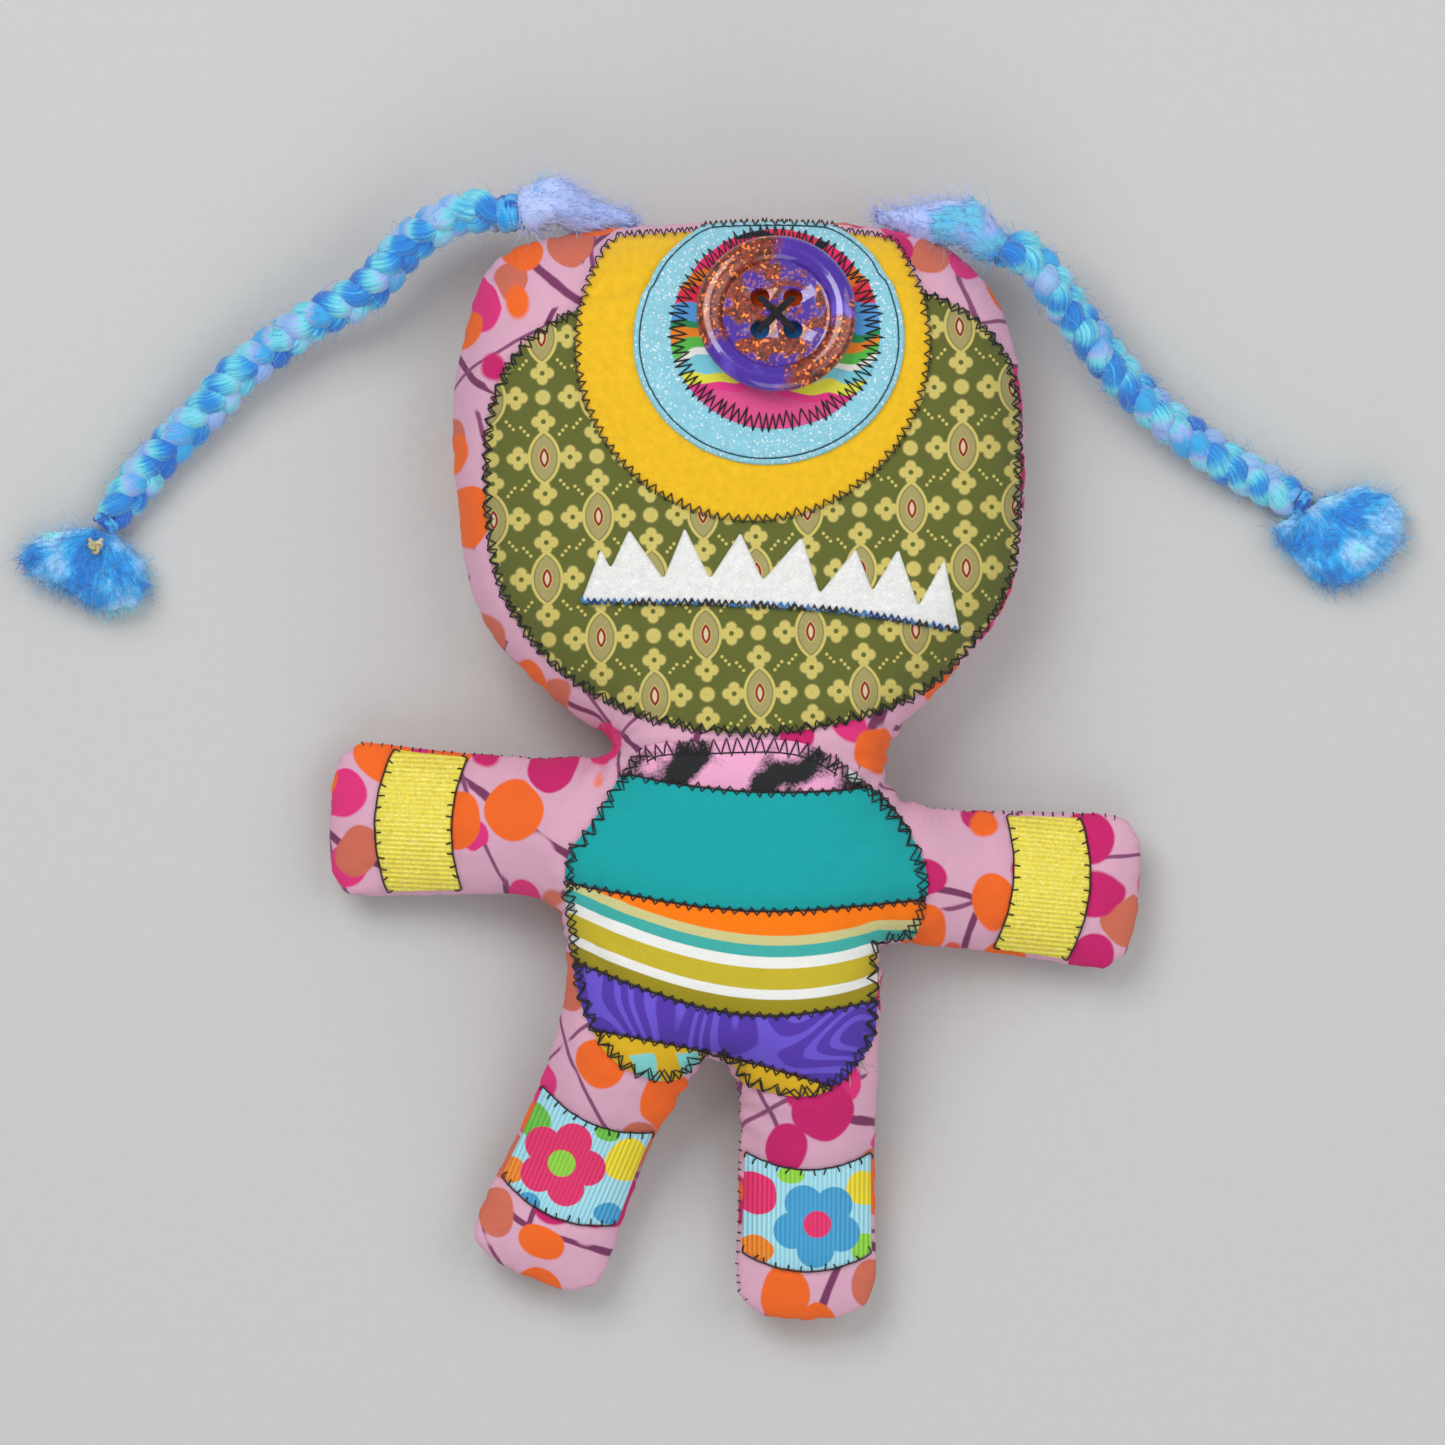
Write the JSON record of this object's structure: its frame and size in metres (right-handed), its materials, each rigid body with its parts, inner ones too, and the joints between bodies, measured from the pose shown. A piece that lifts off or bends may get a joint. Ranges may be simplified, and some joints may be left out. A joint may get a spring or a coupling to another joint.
{
  "type": "stuffed cloth doll",
  "caption": "Stuffed cloth one-eyed monster doll lying on its back, with a button eye on felt discs, felt teeth, patchwork chest, ribbon bands on the limbs and yarn braids",
  "frame": {"origin": "middle of the doll's outline without the braids, on the ground under its back", "axes": "+Y to the top of the head, +Z out of the face, +X to the right of the picture"},
  "size_m": [0.3465, 0.2844, 0.0603],
  "materials": {
    "stuffed_body": "printed cotton",
    "face_panel": "printed cotton",
    "eye_felt_yellow": "felt",
    "eye_felt_blue": "glitter felt",
    "eye_patch": "printed cotton",
    "eye_button": "glossy glitter resin",
    "button_thread": "thread",
    "teeth_strip": "glitter felt",
    "chest_patch_pink": "printed cotton",
    "chest_patch_teal": "plain cotton",
    "chest_patch_striped": "striped cotton",
    "chest_patch_purple": "printed cotton",
    "chest_patch_yellow": "printed cotton",
    "arm_band": "glitter grosgrain ribbon",
    "leg_band": "printed grosgrain ribbon",
    "braid": "thick-thin wool",
    "hank": "loose wool",
    "hank_wrap": "wool",
    "tie": "wool",
    "tuft": "loose wool",
    "knot": "cotton thread"
  },
  "bodies": {
    "root": {"stuffed_body": "stuffed_body", "face_panel": "face_panel", "eye_felt_yellow": "eye_felt_yellow", "eye_felt_blue": "eye_felt_blue", "eye_patch": "eye_patch", "eye_button": "eye_button", "button_thread": "button_thread", "teeth_strip": "teeth_strip", "chest_patch_pink": "chest_patch_pink", "chest_patch_teal": "chest_patch_teal", "chest_patch_striped": "chest_patch_striped", "chest_patch_purple": "chest_patch_purple", "chest_patch_yellow_left": "chest_patch_yellow", "chest_patch_yellow_right": "chest_patch_yellow", "arm_band_left": "arm_band", "arm_band_right": "arm_band", "leg_band_left": "leg_band", "leg_band_right": "leg_band", "braid_left": "braid", "braid_right": "braid", "hank_left": "hank", "hank_right": "hank", "hank_wrap_left": "hank_wrap", "tie_left": "tie", "tie_right": "tie", "tuft_left": "tuft", "tuft_right": "tuft", "knot_left": "knot"}
  },
  "joints": []
}
